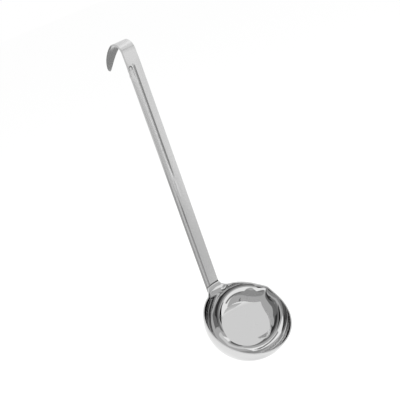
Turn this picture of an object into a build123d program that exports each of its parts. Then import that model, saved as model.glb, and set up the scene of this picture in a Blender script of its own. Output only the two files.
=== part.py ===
from build123d import *
import math
import os

# Soup ladle of sheet steel, in millimetres: a round bowl with one pointed pouring lip, and a long strip handle
# that is welded behind a short tongue of the bowl and ends in a hook bent backwards.
# The ladle hangs: +Z runs up the straight handle, and the front of the handle and the bowl's mouth face -Y.
# The origin is the inner top of the hook's bend, where the rail that it hangs on bears.

# Bowl sheet: a cap of a sphere whose centre lies a little above the rim
RIM_RADIUS = 45.1
CENTRE_LIFT = 2.0
BOWL_SHEET = 1.2
POLE_RADIUS = 3.0
RIM_ROUND = 0.3

# Pouring lip: the rim runs straight into a point on one side, and its crease fades down the wall
LIP_ANGLE = 17.0
LIP_REACH = 2.6
LIP_DEPTH = 34.0
LIP_SOFTNESS = 1.6

# Neck: the handle leans away from the bowl's axis, and the sheet flares out to meet it
NECK_ANGLE = 90.0
HANDLE_LEAN = 38.0
NECK_STANDOFF = 3.3
NECK_BEND = 2.2
NECK_FLARE = 8.0
TONGUE_RISE = 3.4
TONGUE_FILLET = 4.5

# Handle strip
STRIP_WIDTH = 15.9
STRIP_SHEET = 1.8
STRIP_LENGTH = 253.7
TROUGH_RADIUS = 61.0
FLAT_RUN = 13.0
STRIP_ROUND = 0.35
SEAT_GAP = 0.1

# Foot of the handle, on the outside of the bowl, pressed thinner on each face
FOOT_DEPTH = 19.0
FOOT_CORNER = 5.0
FOOT_PRESS = 0.1

# Hook: a tight bend over the rail, then a long easy curve down to the tip
HOOK_RADIUS = 10.7
HOOK_SWEEP = 114.0
LEG_RADIUS = 60.0
LEG_LENGTH = 38.5
LEG_WIDTH_SHARES = ((0.04, 1.0), (0.25, 0.85), (0.5, 0.7), (0.7, 0.54), (0.88, 0.34), (0.97, 0.16))

# Groove pressed into the front of the upper half, which stands out as a ridge behind
GROOVE_START = 11.5
GROOVE_LENGTH = 150.0
GROOVE_WIDTH = 3.6
GROOVE_DEPTH = 0.8
GROOVE_RUN_IN = 3.0
GROOVE_RUN_OUT = 55.0

# Spot welds between the foot and the bowl
WELD_RADIUS = 2.4
WELD_PROUD = 0.25
WELD_GAP = 0.05
WELD_UPPER_DEPTH = 8.5
WELD_LOWER_DEPTH = 14.5

# Height over the rim to which the bowl's sheet is drawn before it is trimmed, and one overrun for every cut
DRAW_RISE = 6.0
BEND_DEPTH = 12.0
OVERRUN = 20.0

# Counts of the bowl's sections, and of the points on each quarter of one, from the quarter with the lip
LOW_SECTIONS = 9
HIGH_SECTIONS = 10
QUARTER_POINTS = (36, 30, 8, 8)

SPHERE_RADIUS = math.hypot(RIM_RADIUS, CENTRE_LIFT)
LEAN_TAN = math.tan(math.radians(HANDLE_LEAN))
LEAN_COS = math.cos(math.radians(HANDLE_LEAN))
LEAN_SIN = math.sin(math.radians(HANDLE_LEAN))
NECK_REACH = RIM_RADIUS + NECK_STANDOFF
LIP_HALF = math.acos(RIM_RADIUS / (RIM_RADIUS + LIP_REACH))
LIP_ROUND = LIP_SOFTNESS / RIM_RADIUS
NECK_HALF = math.asin(STRIP_WIDTH / 2 / NECK_REACH)
FLARE_HALF = NECK_HALF + NECK_FLARE / RIM_RADIUS

# Places along the hanging ladle
FRONT_Y = -HOOK_RADIUS
BEND_Z = STRIP_SHEET - HOOK_RADIUS
FOOT_Z = BEND_Z - STRIP_LENGTH
JOIN_Z = FOOT_Z + TONGUE_RISE / 2
BOWL_Y = FRONT_Y - SEAT_GAP - NECK_REACH * LEAN_COS
BOWL_Z = FOOT_Z - NECK_REACH * LEAN_SIN
BOWL_PLACE = Pos(0, BOWL_Y, BOWL_Z) * Rot(HANDLE_LEAN, 0, 0)


def smooth_share(value):
    # 0 below 0, 1 above 1 and an even curve between
    held = min(1.0, max(0.0, value))
    return held * held * (3.0 - 2.0 * held)


def soft_larger(first, second, width):
    # The larger of two lengths, rounded over where they cross
    gap = abs(first - second)
    extra = 0.0
    if gap < width:
        extra = (width - gap) ** 2 / (4.0 * width)
    return max(first, second) + extra


def turn_between(angle, centre):
    # Turn from one direction to another, from -180 to 180 degrees, in radians
    return math.radians((angle - centre + 180.0) % 360.0 - 180.0)


def sheet_radius(angle, height, offset):
    # Radius of the bowl's outer face, moved outwards by an offset, in one direction at one height over the rim
    ball = SPHERE_RADIUS + offset
    drop = height - CENTRE_LIFT
    radius = math.sqrt(max(0.0, ball * ball - drop * drop))
    away = math.hypot(turn_between(angle, LIP_ANGLE), LIP_ROUND)
    if away < LIP_HALF:
        fade = smooth_share(1.0 + height / LIP_DEPTH)
        radius = radius + radius * (1.0 / math.cos(LIP_HALF - away) - 1.0) * fade
    off_neck = abs(turn_between(angle, NECK_ANGLE))
    share = 1.0 - smooth_share((off_neck - NECK_HALF) / (FLARE_HALF - NECK_HALF))
    if share > 0.0 and height > -BEND_DEPTH:
        neck = NECK_REACH + offset / LEAN_COS + height * LEAN_TAN
        radius = radius + (soft_larger(neck, radius, NECK_BEND) - radius) * share
    return radius


def sheet_point(angle, height, offset):
    radius = sheet_radius(angle, height, offset)
    turn = math.radians(angle)
    return Vector(radius * math.cos(turn), radius * math.sin(turn), height)


def section_wire(height, offset):
    # Closed section of the bowl's outer face at one height, one smooth edge for each quarter
    edges = []
    for quarter, count in enumerate(QUARTER_POINTS):
        low = LIP_ANGLE - 45.0 + 90.0 * quarter
        angles = [low + 90.0 * i / count for i in range(count + 1)]
        points = [sheet_point(angle, height, offset) for angle in angles]
        tangents = []
        for angle in (low, low + 90.0):
            step = 90.0 / count / 8
            tangents.append(sheet_point(angle + step, height, offset) - sheet_point(angle - step, height, offset))
        places = [i / count for i in range(count + 1)]
        edges.append(Edge.make_spline(points, tangents=tangents, parameters=places))
    return Wire(edges)


def section_heights(offset):
    # Even turns of the sphere up to the neck's bend, then even heights over the rim
    ball = SPHERE_RADIUS + offset
    first = math.asin(POLE_RADIUS / ball)
    last = math.acos((CENTRE_LIFT + BEND_DEPTH) / ball)
    low = [CENTRE_LIFT - ball * math.cos(first + (last - first) * i / LOW_SECTIONS) for i in range(LOW_SECTIONS)]
    high = [-BEND_DEPTH + (BEND_DEPTH + DRAW_RISE) * i / HIGH_SECTIONS for i in range(HIGH_SECTIONS + 1)]
    return low + high


def drawn_body(offset):
    # Solid bounded by the bowl's outer face, moved outwards by an offset, from its pole to above the rim
    return Solid.make_loft([section_wire(height, offset) for height in section_heights(offset)])


def turned_prism(outline, reach):
    # Block from a flat outline in the bowl's XZ plane, drawn out towards the handle
    return Solid.extrude(Face(Wire(outline)), Vector(0, reach, 0))


def tongue_blank():
    # Block that keeps the sheet up to the rim, and over it only the tongue with its two fillets
    half = STRIP_WIDTH / 2
    foot = half + TONGUE_FILLET
    rise = TONGUE_RISE * LEAN_COS
    wide = 2 * (RIM_RADIUS + OVERRUN)
    cup = Pos(0, 0, -wide / 2) * Box(wide, wide, wide)
    outline = [
        Edge.make_line((-foot, 0, -OVERRUN), (foot, 0, -OVERRUN)),
        Edge.make_line((foot, 0, -OVERRUN), (foot, 0, 0)),
        Edge.make_spline([Vector(foot, 0, 0), Vector(half, 0, rise)], tangents=[Vector(-1, 0, 0), Vector(0, 0, 1)]),
        Edge.make_line((half, 0, rise), (-half, 0, rise)),
        Edge.make_spline([Vector(-half, 0, rise), Vector(-foot, 0, 0)], tangents=[Vector(0, 0, -1), Vector(-1, 0, 0)]),
        Edge.make_line((-foot, 0, 0), (-foot, 0, -OVERRUN)),
    ]
    return cup + turned_prism(outline, wide / 2)


def strip_section(height, curved):
    # Section of the strip at one height, with round corners: a shallow trough, open to the front, or flat
    half = STRIP_WIDTH / 2
    front = FRONT_Y
    back = FRONT_Y + STRIP_SHEET
    front_lift = 0.0
    back_lift = 0.0
    if curved:
        front_lift = TROUGH_RADIUS - math.sqrt(TROUGH_RADIUS ** 2 - half ** 2)
        outer = TROUGH_RADIUS + STRIP_SHEET
        back_lift = outer - math.sqrt(outer ** 2 - half ** 2)
    corners = [
        (-half, front - front_lift, height),
        (half, front - front_lift, height),
        (half, back - back_lift, height),
        (-half, back - back_lift, height),
    ]
    if curved:
        front_edge = Edge.make_three_point_arc(corners[0], (0, front, height), corners[1])
        back_edge = Edge.make_three_point_arc(corners[2], (0, back, height), corners[3])
    else:
        front_edge = Edge.make_line(corners[0], corners[1])
        back_edge = Edge.make_line(corners[2], corners[3])
    sides = [Edge.make_line(corners[1], corners[2]), Edge.make_line(corners[3], corners[0])]
    face = Face(Wire([front_edge, sides[0], back_edge, sides[1]]))
    return face.fillet_2d(min(STRIP_ROUND, STRIP_SHEET / 3), face.vertices())


def hook_parts():
    # Tight bend over the rail, and the easy curve behind it, cut to an outline that narrows to a round tip
    flat = strip_section(BEND_Z, False)
    bend_axis = Axis((0, 0, BEND_Z), (-1, 0, 0))
    bend = Solid.revolve(flat, HOOK_SWEEP, bend_axis)
    sweep = math.radians(HOOK_SWEEP)
    out = Vector(0, -math.cos(sweep), math.sin(sweep))
    start = Vector(0, 0, BEND_Z) + out * HOOK_RADIUS
    leg_centre = start - out * LEG_RADIUS
    leg_turn = LEG_LENGTH / LEG_RADIUS
    leg = Solid.revolve(flat.rotate(bend_axis, HOOK_SWEEP), math.degrees(leg_turn), Axis(leg_centre, (-1, 0, 0)))
    tip = leg_centre + Vector(0, -math.cos(sweep + leg_turn), math.sin(sweep + leg_turn)) * LEG_RADIUS
    along = (tip - start).normalized()
    reach = (tip - start).length
    half = STRIP_WIDTH / 2
    right = []
    for place, share in LEG_WIDTH_SHARES:
        right.append(Vector(half * share, 0, 0) + along * (reach * place))
    left = [Vector(-point.X, point.Y, point.Z) for point in reversed(right)]
    back = along * -OVERRUN
    outline = Wire([
        Edge.make_line(right[0] + back, right[0]),
        Edge.make_spline(right + [along * reach] + left, tangents=[along, along * -1]),
        Edge.make_line(left[-1], left[-1] + back),
        Edge.make_line(left[-1] + back, right[0] + back),
    ])
    across = Vector(1, 0, 0).cross(along).normalized()
    blade = Pos(start - across * OVERRUN) * Solid.extrude(Face(outline), across * (2 * OVERRUN))
    return bend, leg & blade


def groove_tool(face_y, base_depth):
    # V-shaped bar along the strip whose ridge rises to full depth and sinks out again
    top = BEND_Z - GROOVE_START
    bottom = top - GROOVE_LENGTH
    slope = GROOVE_WIDTH / 2 / GROOVE_DEPTH
    marks = (
        (top, -base_depth / 2),
        (top - GROOVE_RUN_IN, GROOVE_DEPTH),
        (bottom + GROOVE_RUN_OUT, GROOVE_DEPTH),
        (bottom, -base_depth / 2),
    )
    wires = []
    for height, depth in marks:
        half = (depth + base_depth) * slope
        base = face_y - base_depth
        wires.append(Wire.make_polygon([(-half, base, height), (half, base, height), (0, face_y + depth, height)]))
    return Solid.make_loft(wires, True)


def foot_blank():
    # Outline of the foot with round lower corners, drawn out through the bowl's wall towards the handle
    plate = Rectangle(STRIP_WIDTH, DRAW_RISE + FOOT_DEPTH)
    plate = fillet(plate.vertices().sort_by(Axis.Y)[:2], FOOT_CORNER)
    plate = Pos(0, 0, (DRAW_RISE - FOOT_DEPTH) / 2) * Rot(90, 0, 0) * plate
    return extrude(plate, amount=RIM_RADIUS + OVERRUN, dir=(0, 1, 0))


def weld_bar(depth, radius):
    # Bar square to the bowl's wall at one depth under the rim, from inside the wall to far outside
    turn = math.degrees(math.asin((CENTRE_LIFT + depth) / SPHERE_RADIUS))
    bar = Pos(0, 0, (SPHERE_RADIUS + OVERRUN) / 2) * Cylinder(radius, SPHERE_RADIUS + OVERRUN)
    return Pos(0, 0, CENTRE_LIFT) * Rot(-NECK_ANGLE - turn, 0, 0) * bar


os.makedirs("parts", exist_ok=True)

# Bowl: one sheet between two smooth drawn faces, trimmed to the rim and the tongue
bowl = (drawn_body(0) - drawn_body(-BOWL_SHEET)) & tongue_blank()
rim_edges = [edge for edge in bowl.edges() if edge.bounding_box().min.Z > -BOWL_SHEET / 2]
rim_edges = [edge for edge in rim_edges if edge.length > 2 * BOWL_SHEET]
bowl = fillet(rim_edges, min(RIM_ROUND, BOWL_SHEET / 3))

# Foot: pressed a little thinner than the strip, it follows the bowl's outer face, and the welds go through it
foot_back = drawn_body(SEAT_GAP + STRIP_SHEET - FOOT_PRESS)
foot = (foot_back - drawn_body(SEAT_GAP + FOOT_PRESS)) & foot_blank()
for depth in (WELD_UPPER_DEPTH, WELD_LOWER_DEPTH):
    foot = foot - weld_bar(depth, WELD_RADIUS + WELD_GAP)
keep_reach = RIM_RADIUS + OVERRUN
keep = Pos(0, 0, JOIN_Z - keep_reach) * Box(2 * keep_reach, 4 * keep_reach, 2 * keep_reach)
foot = (BOWL_PLACE * foot) & keep

# Welds: each fills its hole, meets the bowl's wall and stands a little proud of the foot
weld_ball = Pos(0, 0, CENTRE_LIFT) * Sphere(SPHERE_RADIUS + SEAT_GAP + STRIP_SHEET + WELD_PROUD)
weld_seat = drawn_body(WELD_GAP)
weld_upper = (weld_bar(WELD_UPPER_DEPTH, WELD_RADIUS) & weld_ball) - weld_seat
weld_lower = (weld_bar(WELD_LOWER_DEPTH, WELD_RADIUS) & weld_ball) - weld_seat

# Handle: foot, trough strip, run to flat, hook bend and back leg, joined end to end
flat_z = BEND_Z - FLAT_RUN
trough = Solid.extrude(strip_section(JOIN_Z, True), Vector(0, 0, flat_z - JOIN_Z))
run = Solid.make_loft([strip_section(flat_z, True).outer_wire(), strip_section(BEND_Z, False).outer_wire()], True)
bend, leg = hook_parts()
handle = trough + run + bend + leg
handle = handle + groove_tool(FRONT_Y + STRIP_SHEET, STRIP_SHEET / 3)
handle = handle - groove_tool(FRONT_Y, STRIP_SHEET)
handle = handle + foot

nodes = {
    "bowl": BOWL_PLACE * bowl,
    "handle": handle,
    "weld_upper": BOWL_PLACE * weld_upper,
    "weld_lower": BOWL_PLACE * weld_lower,
}
for name, shape in nodes.items():
    export_step(shape, f"parts/{name}.step")
    print(name, round(shape.volume, 1), shape.is_valid, len(shape.solids()))
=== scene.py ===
import math

import bmesh
import bpy
from mathutils import Matrix, Vector


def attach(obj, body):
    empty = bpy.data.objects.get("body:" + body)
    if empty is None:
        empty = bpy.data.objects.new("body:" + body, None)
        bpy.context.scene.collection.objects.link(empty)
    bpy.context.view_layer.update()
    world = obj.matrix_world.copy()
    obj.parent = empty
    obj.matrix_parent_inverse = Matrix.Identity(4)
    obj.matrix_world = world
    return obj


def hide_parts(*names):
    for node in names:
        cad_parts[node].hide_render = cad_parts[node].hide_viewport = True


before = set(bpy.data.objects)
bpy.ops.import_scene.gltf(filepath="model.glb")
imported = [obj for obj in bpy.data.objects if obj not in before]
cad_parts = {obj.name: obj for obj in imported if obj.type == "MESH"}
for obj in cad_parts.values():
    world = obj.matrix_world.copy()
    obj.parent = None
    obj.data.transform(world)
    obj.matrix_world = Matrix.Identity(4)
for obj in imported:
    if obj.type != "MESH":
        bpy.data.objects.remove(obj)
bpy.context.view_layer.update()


# The bowl is one cup drawn from polished stainless sheet, a cap of a sphere with its centre just over the
# rim. Its rim runs straight into one pointed pouring lip, and at the neck the sheet flares out and rises
# into a short tongue in front of the handle. Sizes are in metres, and the rim is at height 0.
rim_radius = 0.0451
centre_lift = 0.0020
bowl_sheet = 0.0012
rim_round = 0.0003
lip_turn = math.radians(17.0)
lip_reach = 0.0026
lip_depth = 0.034
lip_softness = 0.0016
neck_turn = math.radians(90.0)
neck_standoff = 0.0033
neck_bend = 0.0022
neck_flare = 0.008
bend_depth = 0.012
tongue_height = 0.0034
tongue_fillet = 0.0045
tongue_blend = 0.006
handle_lean = math.radians(38.0)
strip_width = 0.0159
strip_sheet = 0.0018
strip_length = 0.2537
hook_radius = 0.0107
seat_gap = 0.0001

bowl_rows = 60
bowl_steps = 432
pole_reach = 0.0001
same_place = 0.000001
sharp_corner = math.radians(60.0)

ball_radius = math.hypot(rim_radius, centre_lift)
neck_reach = rim_radius + neck_standoff
lip_half = math.acos(rim_radius / (rim_radius + lip_reach))
neck_half = math.asin(strip_width / 2 / neck_reach)
flare_half = neck_half + neck_flare / rim_radius
tongue_rise = tongue_height * math.cos(handle_lean)
front_y = -hook_radius
bend_z = strip_sheet - hook_radius
foot_z = bend_z - strip_length
bowl_place = Matrix.Translation((
    0.0,
    front_y - seat_gap - neck_reach * math.cos(handle_lean),
    foot_z - neck_reach * math.sin(handle_lean),
)) @ Matrix.Rotation(handle_lean, 4, "X")


def eased(share):
    # A share from 0 to 1 with soft ends
    share = min(1.0, max(0.0, share))
    return share * share * (3.0 - 2.0 * share)


def turn_between(turn, other):
    # Signed angle from one direction to the other, at most half a circle
    return (turn - other + math.pi) % (2.0 * math.pi) - math.pi


def wall_radius(turn, height, offset=0.0):
    # Radius of the bowl's outer face in one direction at one height over the rim
    ball = ball_radius + offset
    radius = math.sqrt(max(0.0, ball * ball - (height - centre_lift) ** 2))
    away = math.hypot(turn_between(turn, lip_turn), lip_softness / rim_radius)
    if away < lip_half:
        radius += radius * (1.0 / math.cos(lip_half - away) - 1.0) * eased(1.0 + height / lip_depth)
    off_neck = abs(turn_between(turn, neck_turn))
    share = 1.0 - eased((off_neck - neck_half) / (flare_half - neck_half))
    if share > 0.0 and height > -bend_depth:
        neck = neck_reach + offset / math.cos(handle_lean) + height * math.tan(handle_lean)
        gap = abs(neck - radius)
        larger = max(neck, radius) + max(0.0, neck_bend - gap) ** 2 / (4.0 * neck_bend)
        radius += (larger - radius) * share
    return radius


def rim_height(turn):
    # Height of the trimmed edge: 0 all round, and the tongue with its two small fillets at the neck
    side = abs(math.sin(turn - neck_turn)) * neck_reach
    if math.sin(turn) < 0.0 or side > strip_width / 2 + tongue_fillet:
        return 0.0
    over = max(0.0, side - strip_width / 2) / tongue_fillet
    if over == 0.0:
        return tongue_rise
    return tongue_rise * (1.0 - math.sqrt(1.0 - (1.0 - over) ** 2))


def round_corners(mesh, radius, clamp):
    # Break the sharp corners of a sheet, as tumbling does
    corners = []
    for edge in mesh.edges:
        if len(edge.link_faces) == 2 and edge.calc_face_angle(0.0) > sharp_corner:
            corners.append(edge)
    bmesh.ops.bevel(
        mesh, geom=corners, offset=radius, offset_type="OFFSET", segments=2, profile=0.5,
        affect="EDGES", material=-1, clamp_overlap=clamp,
    )


def new_object(mesh, name, smooth):
    # An object at the origin from a finished bmesh
    data = bpy.data.meshes.new(name)
    mesh.to_mesh(data)
    mesh.free()
    for face in data.polygons:
        face.use_smooth = smooth
    piece = bpy.data.objects.new(name, data)
    bpy.context.collection.objects.link(piece)
    return piece


bowl_mesh = bmesh.new()
inner_vert = None
for row in range(bowl_rows + 1):
    turn = math.acos(centre_lift / ball_radius) * row / bowl_rows
    spot = Vector((ball_radius * math.sin(turn), 0.0, centre_lift - ball_radius * math.cos(turn)))
    vert = bowl_mesh.verts.new(spot)
    if inner_vert:
        bowl_mesh.edges.new((inner_vert, vert))
    inner_vert = vert
bmesh.ops.spin(
    bowl_mesh, geom=bowl_mesh.verts[:] + bowl_mesh.edges[:], cent=(0, 0, 0), axis=(0, 0, 1),
    angle=2.0 * math.pi, steps=bowl_steps, use_merge=True,
)
bmesh.ops.remove_doubles(bowl_mesh, verts=bowl_mesh.verts, dist=same_place)
for vert in bowl_mesh.verts:
    flat = math.hypot(vert.co.x, vert.co.y)
    if flat > pole_reach:
        turn = math.atan2(vert.co.y, vert.co.x)
        round_radius = math.sqrt(ball_radius ** 2 - (vert.co.z - centre_lift) ** 2)
        height = vert.co.z + rim_height(turn) * eased(1.0 + vert.co.z / tongue_blend)
        radius = wall_radius(turn, height) * flat / round_radius
        vert.co = Vector((radius * math.cos(turn), radius * math.sin(turn), height))
bmesh.ops.recalc_face_normals(bowl_mesh, faces=bowl_mesh.faces)
bmesh.ops.solidify(bowl_mesh, geom=bowl_mesh.faces[:], thickness=bowl_sheet)
round_corners(bowl_mesh, rim_round, False)
bmesh.ops.transform(bowl_mesh, matrix=bowl_place, verts=bowl_mesh.verts)
bowl = new_object(bowl_mesh, "polished_bowl", True)
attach(bowl, "root")
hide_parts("bowl")


def linear(code):
    # sRGB hex colour as the linear colour that shaders use
    parts = [int(code[i:i + 2], 16) / 255.0 for i in (1, 3, 5)]
    return [p / 12.92 if p <= 0.04045 else ((p + 0.055) / 1.055) ** 2.4 for p in parts] + [1.0]


def add_node(tree, kind, links=(), **settings):
    # One node: in_ and a name or number sets an input, and a link is (input, output socket)
    node = tree.nodes.new(kind)
    for name, value in settings.items():
        if name.startswith("in_"):
            name = name[3:]
            key = int(name) if name.isdigit() else name.replace("_", " ")
            node.inputs[key].default_value = value
        else:
            setattr(node, name, value)
    for key, socket in links:
        tree.links.new(socket, node.inputs[key])
    return node


def new_material(name):
    material = bpy.data.materials.new(name)
    material.use_nodes = True
    material.node_tree.nodes.clear()
    return material, material.node_tree


# Mirror-polished stainless steel: it shows the studio almost sharply, with the faint waviness that drawing
# and buffing leave in a thin sheet, in waves about 18 mm wide.
wave_width = 0.0182
wave_depth = 0.0002
polished, tree = new_material("mirror_polished_stainless")
place = add_node(tree, "ShaderNodeTexCoord")
waves = add_node(
    tree, "ShaderNodeTexNoise", [("Vector", place.outputs["Object"])],
    in_Scale=1.0 / wave_width, in_Detail=1.0,
)
bump = add_node(
    tree, "ShaderNodeBump", [("Height", waves.outputs["Fac"])],
    in_Strength=0.25, in_Distance=wave_depth,
)
steel = add_node(
    tree, "ShaderNodeBsdfPrincipled", [("Normal", bump.outputs["Normal"])],
    in_Base_Color=linear("#CCCCCC"), in_Metallic=1.0, in_Roughness=0.03,
)
add_node(tree, "ShaderNodeOutputMaterial", [("Surface", steel.outputs[0])])
bowl.data.materials.append(polished)


# The handle is one strip of satin stainless steel, sheared, pressed and bent. Its foot lies on the bowl's
# outside and is welded there, its front is a shallow trough with a pressed groove in the upper half, and its
# top bends backwards into a tapered hanging hook.
trough_radius = 0.061
trough_blend = 0.006
flat_run = 0.013
strip_round = 0.00035
foot_depth = 0.019
foot_top = 0.0013
foot_slant = 1.08
foot_corner = 0.005
foot_end_half = 0.0002
hook_sweep = math.radians(114.0)
leg_radius = 0.060
leg_length = 0.0385
leg_taper_share = 0.62
leg_tip_power = 6
leg_tip_half = 0.0001
groove_start = 0.0115
groove_length = 0.150
groove_half = 0.0018
groove_side = -0.0008
groove_depth = 0.0008
groove_top_fade = 0.003
groove_low_fade = 0.055

# The shallow panel is pressed into the strip's left, beside the groove. Its sides are shares of the strip's
# width. It widens to the left, grows faint below its round top and comes back towards the neck.
panel_left_share = 0.05
panel_right_high_share = 0.31
panel_right_low_share = 0.25
panel_start = 0.0130
panel_end_round = 0.0022
panel_wall = 0.0005
panel_widening = 0.004
panel_widening_start = 0.006
panel_widening_fade = 0.012
panel_depth_high = 0.00038
panel_depth_low = 0.00026
panel_faint_share = 0.8
panel_faint_start = 0.004
panel_faint_fade = 0.012
panel_low_start = 0.150
panel_low_fade = 0.035

foot_rows = 44
foot_step = 0.0001
straight_rows = 220
fine_length = 0.026
fine_rows = 78
bend_rows = 36
leg_rows = 40
leg_row_power = 1.3
strip_columns = 96


def panel_relief(side, below):
    # Depth of the pressed panel at one place across the strip and below its bend
    low = eased((below - panel_low_start) / panel_low_fade)
    right_share = panel_right_high_share + (panel_right_low_share - panel_right_high_share) * low
    right = (right_share - 0.5) * strip_width
    left = (panel_left_share - 0.5) * strip_width
    left -= panel_widening * eased((below - panel_start - panel_widening_start) / panel_widening_fade)
    inside = min(right - side, side - left)
    end = below - panel_start
    if end < panel_end_round and inside < panel_end_round:
        inside = panel_end_round - math.hypot(panel_end_round - end, panel_end_round - inside)
    else:
        inside = min(inside, end)
    clear_share = 1.0 - panel_faint_share * eased((end - panel_faint_start) / panel_faint_fade)
    deep = panel_depth_high * clear_share + panel_depth_low * low
    return deep * eased(inside / panel_wall)


def hook_way(turn):
    # The way that the strip's front faces after a turn round the hook's bend
    return Vector((0.0, -math.cos(turn), math.sin(turn)))


# Each station is one row across the strip: its middle, the way its front faces, its half width, the trough's
# curvature and the share of the groove's depth. The foot's rows come first, then the straight run with finer
# rows at its top, the bend and the leg.
stations = []
for row in range(foot_rows):
    height = -foot_depth + (foot_depth + foot_top) * row / foot_rows
    low = wall_radius(neck_turn, height - foot_step, seat_gap)
    high = wall_radius(neck_turn, height + foot_step, seat_gap)
    spot = bowl_place @ Vector((0.0, (low + high) / 2, height))
    front = (bowl_place.to_3x3() @ Vector((0.0, -2.0 * foot_step, high - low))).normalized()
    reach = (height + foot_depth) * foot_slant
    half = strip_width / 2
    if reach < foot_corner:
        half += math.sqrt(foot_corner ** 2 - (foot_corner - reach) ** 2) - foot_corner
    bow = 1.0 / (ball_radius + (trough_radius - ball_radius) * eased(1.0 + height / trough_blend))
    stations.append((spot, front, max(half, foot_end_half), bow, 0.0))
straight_low = stations[-1][0].z
fine_from = bend_z - fine_length
for row in range(1, straight_rows + fine_rows + 1):
    z = straight_low + (fine_from - straight_low) * row / straight_rows
    if row > straight_rows:
        z = fine_from + (bend_z - fine_from) * (row - straight_rows) / fine_rows
    below = bend_z - z
    bow = eased(below / flat_run) / trough_radius
    groove = eased((below - groove_start) / groove_top_fade)
    groove *= eased((groove_start + groove_length - below) / groove_low_fade)
    stations.append((Vector((0.0, front_y, z)), hook_way(0.0), strip_width / 2, bow, groove))
for row in range(1, bend_rows + 1):
    front = hook_way(hook_sweep * row / bend_rows)
    stations.append((Vector((0.0, 0.0, bend_z)) + front * hook_radius, front, strip_width / 2, 0.0, 0.0))
leg_centre = stations[-1][0] - stations[-1][1] * leg_radius
for row in range(1, leg_rows + 1):
    share = 1.0 - (1.0 - row / leg_rows) ** leg_row_power
    front = hook_way(hook_sweep + leg_length / leg_radius * share)
    half = strip_width / 2 * (1.0 - leg_taper_share * share)
    half *= math.sqrt(max(0.0, 1.0 - share ** leg_tip_power))
    stations.append((leg_centre + front * leg_radius, front, max(half, leg_tip_half), 0.0, 0.0))

strip_mesh = bmesh.new()
last_row = len(stations) - 1
bmesh.ops.create_grid(strip_mesh, x_segments=strip_columns, y_segments=last_row, size=0.5)
for vert in strip_mesh.verts:
    spot, front, half, bow, groove = stations[round((vert.co.y + 0.5) * last_row)]
    side = 2.0 * vert.co.x * half
    lift = side * side * bow / 2.0
    pressed = groove * groove_depth * max(0.0, 1.0 - abs(side - groove_side) / groove_half)
    if front.y == -1.0:
        # Only the straight run has the panel
        pressed += panel_relief(side, bend_z - spot.z)
    vert.co = spot + front * (lift - pressed) + Vector((side, 0.0, 0.0))
strip_mesh.normal_update()
bmesh.ops.solidify(strip_mesh, geom=strip_mesh.faces[:], thickness=strip_sheet)
round_corners(strip_mesh, strip_round, True)
handle = new_object(strip_mesh, "satin_handle", True)
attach(handle, "root")
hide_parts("handle")


# Satin stainless steel: ground along the strip, so it blurs what it shows and carries fine lines lengthways.
# The lines are drawn about 0.4 mm wide, coarser than the grit leaves them, so that they show.
grind_width = 0.00042
grind_length = 0.021
grind_depth = 0.0001
satin, tree = new_material("satin_ground_stainless")
place = add_node(tree, "ShaderNodeTexCoord")
along = add_node(
    tree, "ShaderNodeMapping", [("Vector", place.outputs["Object"])],
    in_Scale=(1.0, 1.0, grind_width / grind_length),
)
grind = add_node(
    tree, "ShaderNodeTexNoise", [("Vector", along.outputs[0])],
    in_Scale=1.0 / grind_width, in_Detail=2.0,
)
bump = add_node(
    tree, "ShaderNodeBump", [("Height", grind.outputs["Fac"])],
    in_Strength=0.15, in_Distance=grind_depth,
)
split = add_node(tree, "ShaderNodeSeparateXYZ", [("Vector", place.outputs["Object"])])
in_front = add_node(
    tree, "ShaderNodeMath", [(0, split.outputs["Y"])],
    in_1=front_y + strip_sheet / 2, operation="LESS_THAN",
)

# Painted shade: the strip is painted dark in a narrow band over the tongue's edge, standing in for the shade
# in the gap between the two sheets. Its heights start from the foot's bend, and it fades out at the left.
seam_low = 0.0020
seam_high = 0.0041
seam_left = -0.0035
seam_fade = 0.0005
over_low = add_node(
    tree, "ShaderNodeMath", [(0, split.outputs["Z"])],
    in_1=foot_z + seam_low, operation="GREATER_THAN",
)
under_high = add_node(
    tree, "ShaderNodeMapRange", [("Value", split.outputs["Z"])], interpolation_type="SMOOTHSTEP",
    in_From_Min=foot_z + seam_high - seam_fade, in_From_Max=foot_z + seam_high + seam_fade,
    in_To_Min=1.0, in_To_Max=0.0,
)
inward = add_node(
    tree, "ShaderNodeMapRange", [("Value", split.outputs["X"])], interpolation_type="SMOOTHSTEP",
    in_From_Min=seam_left - seam_fade, in_From_Max=seam_left + seam_fade,
    in_To_Min=0.0, in_To_Max=1.0,
)
painted_seam_shade = in_front
for part in (over_low, under_high, inward):
    painted_seam_shade = add_node(
        tree, "ShaderNodeMath", [(0, painted_seam_shade.outputs[0]), (1, part.outputs[0])], operation="MULTIPLY",
    )

# Painted shade and painted dark reflection on the pressed panel: the steel is painted darker in an arch
# round the panel's top, and in a line along its right side in the lower half.
arch_radius = 0.0020
arch_half = 0.0006
arch_fade_low = 0.0030
arch_fade_high = 0.0010
line_side = -0.0040
line_half = 0.0008
line_start = 0.135
line_full = 0.165
line_share = 0.75
arch_middle = Vector((
    (panel_right_high_share - 0.5) * strip_width - panel_end_round,
    front_y,
    bend_z - panel_start - panel_end_round,
))
from_arch = add_node(
    tree, "ShaderNodeVectorMath", [(0, place.outputs["Object"])], in_1=arch_middle, operation="DISTANCE",
)
ring = add_node(
    tree, "ShaderNodeMath", [(0, from_arch.outputs["Value"])],
    in_1=arch_radius, in_2=arch_half, operation="COMPARE",
)
upper = add_node(
    tree, "ShaderNodeMapRange", [("Value", split.outputs["Z"])], interpolation_type="SMOOTHSTEP",
    in_From_Min=arch_middle.z - arch_fade_low, in_From_Max=arch_middle.z + arch_fade_high,
    in_To_Min=0.0, in_To_Max=1.0,
)
painted_arch_shade = add_node(
    tree, "ShaderNodeMath", [(0, ring.outputs[0]), (1, upper.outputs[0])], operation="MULTIPLY",
)
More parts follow.
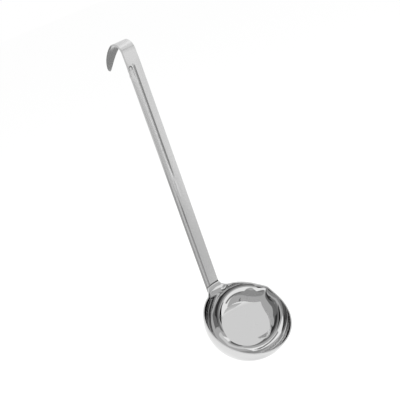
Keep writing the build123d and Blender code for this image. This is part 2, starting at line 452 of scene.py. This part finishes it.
stripe = add_node(
    tree, "ShaderNodeMath", [(0, split.outputs["X"])],
    in_1=line_side, in_2=line_half, operation="COMPARE",
)
lower = add_node(
    tree, "ShaderNodeMapRange", [("Value", split.outputs["Z"])], interpolation_type="SMOOTHSTEP",
    in_From_Min=bend_z - line_full, in_From_Max=bend_z - line_start,
    in_To_Min=line_share, in_To_Max=0.0,
)
painted_line_shade = add_node(
    tree, "ShaderNodeMath", [(0, stripe.outputs[0]), (1, lower.outputs[0])], operation="MULTIPLY",
)
painted_panel_shade = add_node(
    tree, "ShaderNodeMath", [(0, painted_arch_shade.outputs[0]), (1, painted_line_shade.outputs[0])], operation="MAXIMUM",
)
painted_panel_shade = add_node(
    tree, "ShaderNodeMath", [(0, painted_panel_shade.outputs[0]), (1, in_front.outputs[0])], operation="MULTIPLY",
)

# Painted shade: the strip's left side is painted darker than the front, and most so low down.
sheared_full = 0.0003
sheared_none = 0.0009
sheared_share = 0.75
sheared_high_share = 0.35
sheared_low_from = 0.140
sheared_high_from = 0.100
painted_side_shade = add_node(
    tree, "ShaderNodeMapRange", [("Value", split.outputs["X"])], interpolation_type="SMOOTHSTEP",
    in_From_Min=-strip_width / 2 + sheared_full, in_From_Max=-strip_width / 2 + sheared_none,
    in_To_Min=sheared_share, in_To_Max=0.0,
)
low_down = add_node(
    tree, "ShaderNodeMapRange", [("Value", split.outputs["Z"])], interpolation_type="SMOOTHSTEP",
    in_From_Min=bend_z - sheared_low_from, in_From_Max=bend_z - sheared_high_from,
    in_To_Min=1.0, in_To_Max=sheared_high_share,
)
painted_side_shade = add_node(
    tree, "ShaderNodeMath", [(0, painted_side_shade.outputs[0]), (1, low_down.outputs[0])], operation="MULTIPLY",
)
painted_shade_mask = add_node(
    tree, "ShaderNodeMath", [(0, painted_panel_shade.outputs[0]), (1, painted_side_shade.outputs[0])], operation="MAXIMUM",
)

# In a colour Mix, inputs 6 and 7 are the two colours and output 2 is the result.
# Painted shade: the seam's band is mixed towards a dark colour.
shade = add_node(
    tree, "ShaderNodeMix", [(0, painted_seam_shade.outputs[0])], data_type="RGBA",
    in_6=linear("#CDCDCD"), in_7=linear("#3C3B3A"),
)
# Painted shade and painted dark reflection: the panel's marks and the strip's left side are mixed towards a
# darker grey.
shade = add_node(
    tree, "ShaderNodeMix", [(0, painted_shade_mask.outputs[0]), (6, shade.outputs[2])], data_type="RGBA",
    in_7=linear("#7C7C7C"),
)
steel = add_node(
    tree, "ShaderNodeBsdfPrincipled", [("Normal", bump.outputs["Normal"]), ("Base Color", shade.outputs[2])],
    in_Metallic=1.0, in_Roughness=0.22,
)
add_node(tree, "ShaderNodeOutputMaterial", [("Surface", steel.outputs[0])])
handle.data.materials.append(satin)


# Two spot welds hold the foot to the bowl: metal melted together under a round electrode, left dull and a
# little blued, with shallow pits about 1 mm wide.
pit_width = 0.0011
pit_depth = 0.0001
weld, tree = new_material("heat_dulled_weld_steel")
place = add_node(tree, "ShaderNodeTexCoord")
pits = add_node(
    tree, "ShaderNodeTexNoise", [("Vector", place.outputs["Object"])],
    in_Scale=1.0 / pit_width, in_Detail=3.0,
)
bump = add_node(
    tree, "ShaderNodeBump", [("Height", pits.outputs["Fac"])],
    in_Strength=0.4, in_Distance=pit_depth,
)
steel = add_node(
    tree, "ShaderNodeBsdfPrincipled", [("Normal", bump.outputs["Normal"])],
    in_Base_Color=linear("#A9A8AA"), in_Metallic=1.0, in_Roughness=0.42,
)
add_node(tree, "ShaderNodeOutputMaterial", [("Surface", steel.outputs[0])])
for name in ("weld_upper", "weld_lower"):
    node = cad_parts[name]
    node.data.materials.clear()
    node.data.materials.append(weld)


# Studio floor of white paper, well under the hanging ladle, in a white room. The paper is matt and glows a
# little where the camera or the steel sees it, so that it reads as plain white.
floor_z = -0.47
floor_half = 6.0
floor_mesh = bmesh.new()
bmesh.ops.create_grid(floor_mesh, x_segments=1, y_segments=1, size=floor_half)
bmesh.ops.translate(floor_mesh, vec=(0.0, 0.0, floor_z), verts=floor_mesh.verts)
floor = new_object(floor_mesh, "studio_floor", False)
paper, tree = new_material("white_paper_floor")
path = add_node(tree, "ShaderNodeLightPath")
seen = add_node(
    tree, "ShaderNodeMath", [(0, path.outputs["Is Camera Ray"]), (1, path.outputs["Is Glossy Ray"])],
    operation="MAXIMUM",
)
seen = add_node(
    tree, "ShaderNodeMath", [(0, seen.outputs[0]), (1, path.outputs["Is Transmission Ray"])],
    operation="MAXIMUM",
)
matt = add_node(tree, "ShaderNodeBsdfDiffuse", in_Color=linear("#E4E4E4"))
glow = add_node(tree, "ShaderNodeEmission", [("Strength", seen.outputs[0])], in_Color=linear("#7F7F7F"))
both = add_node(tree, "ShaderNodeAddShader", [(0, matt.outputs[0]), (1, glow.outputs[0])])
add_node(tree, "ShaderNodeOutputMaterial", [("Surface", both.outputs[0])])
floor.data.materials.append(paper)

world = bpy.data.worlds.new("white_room")
bpy.context.scene.world = world
world.use_nodes = True
world.node_tree.nodes.clear()
room = add_node(world.node_tree, "ShaderNodeBackground", in_Color=linear("#FFFFFF"), in_Strength=1.0)
add_node(world.node_tree, "ShaderNodeOutputWorld", [("Surface", room.outputs[0])])


# Camera of the photograph: a long lens 0.92 m from the bowl, left of the handle's front and a little above
# the bowl, and turned so that the ladle leans to the left. Its picture is 0.4 m wide at the bowl.
camera_distance = 0.920
picture_width = 0.400
sensor_width = 36.0
eye_left = 0.04779
eye_up = 0.11666
look_right = Vector((0.6983, -0.6419, -0.3163)).normalized()
look_up = Vector((0.4349, 0.0299, 0.9000))
look_up = (look_up - look_right * look_up.dot(look_right)).normalized()
look_back = look_right.cross(look_up)
rim_centre = bowl_place.translation


def placed(right, up, back, spot):
    # Matrix of a thing with these three axes at a spot
    return Matrix((
        (right.x, up.x, back.x, spot.x),
        (right.y, up.y, back.y, spot.y),
        (right.z, up.z, back.z, spot.z),
        (0.0, 0.0, 0.0, 1.0),
    ))


camera_data = bpy.data.cameras.new("camera")
camera_data.sensor_width = sensor_width
camera_data.lens = sensor_width * camera_distance / picture_width
camera = bpy.data.objects.new("camera", camera_data)
bpy.context.collection.objects.link(camera)
eye = rim_centre - look_right * eye_left + look_up * eye_up + look_back * camera_distance
camera.matrix_world = placed(look_right, look_up, look_back, eye)
bpy.context.scene.camera = camera


# Soft studio lamp, over and to the left of the camera. The steel shows the cards and not the lamp.
lamp_back = 0.8
lamp_up = 0.9
lamp_left = 0.2
lamp_data = bpy.data.lights.new("key_lamp", "AREA")
lamp_data.shape = "RECTANGLE"
lamp_data.size = 0.6
lamp_data.size_y = 0.4
lamp_data.energy = 6.0
lamp = bpy.data.objects.new("key_lamp", lamp_data)
bpy.context.collection.objects.link(lamp)
lamp.visible_glossy = False
lamp.location = rim_centre + look_back * lamp_back + look_up * lamp_up - look_right * lamp_left
lamp.rotation_euler = (rim_centre - lamp.location).to_track_quat("-Z", "Y").to_euler()


# Cards of the studio: plain sheets round the ladle that only its steel shows, because polished steel is as
# white as the room without them. A card shows in first reflections or in later ones, and one with a reach
# shows only to steel within those distances, so that a card for the hook stays out of the bowl.
card_lift = 0.005

# Glossy Depth is 1 in a first reflection and more in later ones. A tone changes between the two shares of a
# card's height, counted from its middle.
between_bounces = 1.5
tone_low_share = -0.3
tone_high_share = 0.5


def hang_card(name, spot, across, up, size, tones, first=True, reach=None):
    # One card with its middle at a spot, and a tone that may change up its height
    wide, high = size
    mesh = bmesh.new()
    bmesh.ops.create_grid(mesh, x_segments=1, y_segments=1, size=0.5)
    card = new_object(mesh, name, False)
    card.matrix_world = placed(across * wide, up * high, across.cross(up), spot)
    for ray in ("camera", "diffuse", "transmission", "volume_scatter", "shadow"):
        setattr(card, "visible_" + ray, False)
    sheet, tree = new_material(name)
    place = add_node(tree, "ShaderNodeTexCoord")
    split = add_node(tree, "ShaderNodeSeparateXYZ", [("Vector", place.outputs["Object"])])
    tone = add_node(
        tree, "ShaderNodeMapRange", [("Value", split.outputs["Y"])],
        in_From_Min=tone_low_share, in_From_Max=tone_high_share, in_To_Min=tones[0], in_To_Max=tones[1],
    )
    glow = add_node(tree, "ShaderNodeEmission", [("Strength", tone.outputs[0])], in_Color=linear("#FFFFFF"))
    clear = add_node(tree, "ShaderNodeBsdfTransparent")
    path = add_node(tree, "ShaderNodeLightPath")
    shown = add_node(
        tree, "ShaderNodeMath", [(0, path.outputs["Glossy Depth"])],
        in_1=between_bounces, operation="LESS_THAN" if first else "GREATER_THAN",
    )
    if reach:
        near = add_node(
            tree, "ShaderNodeMath", [(0, path.outputs["Ray Length"])],
            in_1=(reach[0] + reach[1]) / 2, in_2=(reach[1] - reach[0]) / 2, operation="COMPARE",
        )
        shown = add_node(
            tree, "ShaderNodeMath", [(0, shown.outputs[0]), (1, near.outputs[0])], operation="MULTIPLY",
        )
    both = add_node(
        tree, "ShaderNodeMixShader", [(0, shown.outputs[0]), (1, clear.outputs[0]), (2, glow.outputs[0])],
    )
    add_node(tree, "ShaderNodeOutputMaterial", [("Surface", both.outputs[0])])
    card.data.materials.append(sheet)


def card_toward(name, target, azimuth, elevation, distance, size, tone, roll=0, first=True, reach=None):
    # A card that faces a target, with its angles in degrees
    azimuth = math.radians(azimuth)
    elevation = math.radians(elevation)
    roll = math.radians(roll)
    level = Vector((math.cos(azimuth), math.sin(azimuth), 0.0))
    way = level * math.cos(elevation) + Vector((0.0, 0.0, math.sin(elevation)))
    across = Vector((0.0, 0.0, 1.0)).cross(way).normalized()
    up = way.cross(across)
    turned_across = across * math.cos(roll) + up * math.sin(roll)
    turned_up = up * math.cos(roll) - across * math.sin(roll)
    hang_card(name, target + way * distance, turned_across, turned_up, size, (tone, tone), first, reach)


def floor_card(name, azimuth, near, far, wide, tones):
    # A card that lies on the floor and runs away from under the ladle in one direction
    azimuth = math.radians(azimuth)
    way = Vector((math.cos(azimuth), math.sin(azimuth), 0.0))
    spot = way * (near + far) / 2 + Vector((0.0, 0.0, floor_z + card_lift))
    hang_card(name, spot, Vector((way.y, -way.x, 0.0)), way, (wide, far - near), tones)


hook_spot = Vector((0.0, 0.017, -0.010))
bend_spot = Vector((0.0, -0.010, -0.004))
face_spot = Vector((0.0, -0.011, -0.013))
groove_spot = Vector((0.0, -0.011, -0.095))
card_toward(
    "hook_card", hook_spot, azimuth=12, elevation=-53, distance=0.40, size=(0.40, 0.34),
    tone=0.35, reach=(0.36, 0.48),
)
card_toward(
    "hook_edge_card", hook_spot, azimuth=108, elevation=-12, distance=0.05, size=(0.06, 0.06),
    tone=0.35, reach=(0.0, 0.066),
)
card_toward(
    "crest_card", bend_spot, azimuth=-15, elevation=53, distance=0.15, size=(0.24, 0.014),
    tone=1.5, reach=(0.0, 0.25),
)
card_toward(
    "bend_card", bend_spot, azimuth=-52, elevation=22, distance=0.15, size=(0.10, 0.022),
    tone=0.7, reach=(0.0, 0.20),
)
card_toward(
    "face_card", face_spot, azimuth=-54, elevation=-8, distance=0.15, size=(0.034, 0.045),
    tone=1.12, reach=(0.0, 0.17),
)
card_toward(
    "groove_card", groove_spot, azimuth=-110, elevation=-13, distance=0.10, size=(0.075, 0.19),
    tone=0.34, reach=(0.0, 0.125),
)
card_toward(
    "stripe_card", groove_spot, azimuth=-5, elevation=-13, distance=0.10, size=(0.055, 0.19),
    tone=1.35, reach=(0.0, 0.14),
)
floor_card("low_card", azimuth=-66, near=0.45, far=1.02, wide=1.3, tones=(0.70, 0.96))
floor_card("left_card", azimuth=-32, near=0.40, far=3.6, wide=1.0, tones=(0.60, 0.70))


# Cards for the walls inside the bowl. Only second reflections show them, so the bottom of the bowl stays
# plain: two white boxes above the camera and to both sides of it, black and grey flags under them and nearer
# the bowl, and a grey ceiling.
rim_middle = Vector((0.0, -0.05, -0.29))


def inner_card(name, azimuth, elevation, distance, size, tone, roll=0):
    card_toward(name, rim_middle, azimuth, elevation, distance, size, tone, roll, first=False)


inner_card("white_box", azimuth=-158, elevation=47, distance=0.80, size=(0.85, 0.40), tone=2.1, roll=25)
inner_card("front_box", azimuth=-100, elevation=39, distance=1.00, size=(0.60, 0.20), tone=1.5)
inner_card("black_flag", azimuth=-117, elevation=15, distance=0.45, size=(0.17, 0.11), tone=0.08, roll=-30)
inner_card("grey_flag", azimuth=-106, elevation=17, distance=0.90, size=(0.55, 0.28), tone=0.35)
inner_card("ceiling_card", azimuth=-85, elevation=72, distance=0.90, size=(0.70, 0.45), tone=0.70)
inner_card(
    "small_black_flag", azimuth=-141, elevation=29, distance=0.20, size=(0.035, 0.03), tone=0.0, roll=20,
)
inner_card("small_grey_flag", azimuth=-127, elevation=21, distance=0.30, size=(0.06, 0.06), tone=0.40)
inner_card("low_grey_flag", azimuth=-143, elevation=56, distance=0.20, size=(0.10, 0.035), tone=0.5, roll=45)

bpy.context.scene.view_settings.view_transform = "Standard"
